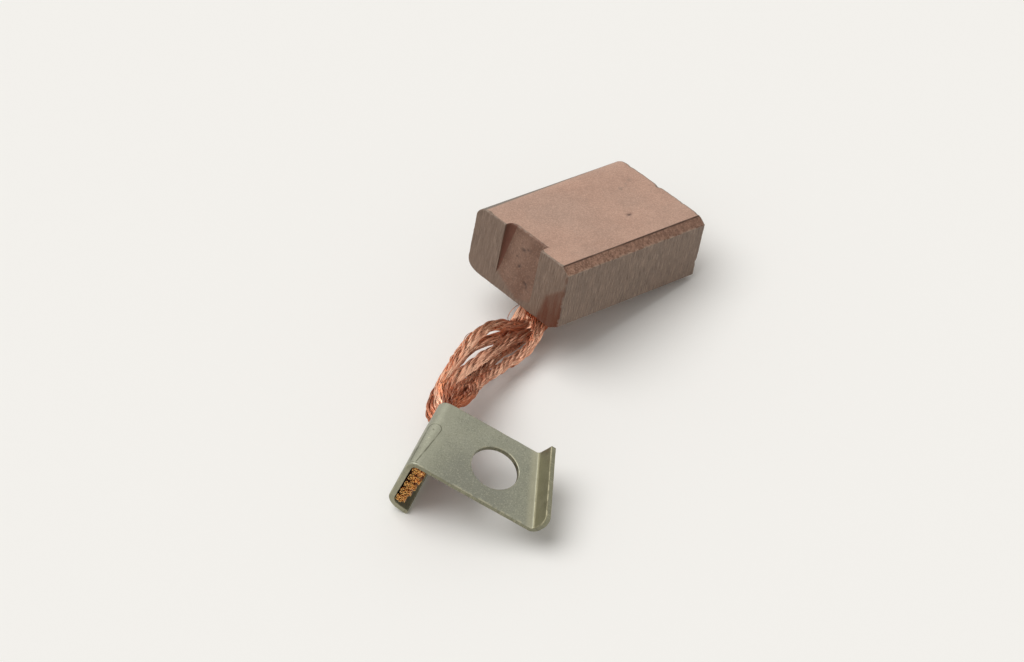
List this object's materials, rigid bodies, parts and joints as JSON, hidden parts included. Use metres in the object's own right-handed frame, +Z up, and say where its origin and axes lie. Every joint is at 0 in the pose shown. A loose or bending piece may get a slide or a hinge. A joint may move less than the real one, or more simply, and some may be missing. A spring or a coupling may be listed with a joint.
{
  "type": "carbon brush",
  "caption": "Carbon brush at rest: bevelled copper-graphite block with a spring groove, opened copper lead and a folded screw terminal with a skewed flange.",
  "frame": {"origin": "on the table, under the middle of the box round block and terminal", "axes": "+X along the block towards its contact end in plan, +Z up from the table"},
  "size_m": [0.0608, 0.0406, 0.0169],
  "materials": {
    "copper_graphite": "pressed and sintered, matt",
    "tamped_powder": "matt",
    "copper_strand": "bare bunched wire",
    "plated_steel": "dull plated"
  },
  "bodies": {
    "root": {"brush_block": "copper_graphite", "tamped_powder": "tamped_powder", "lead_strand_a": "copper_strand", "lead_strand_b": "copper_strand", "lead_strand_c": "copper_strand", "lead_strand_d": "copper_strand", "lead_strand_e": "copper_strand", "terminal": "plated_steel"}
  },
  "joints": []
}
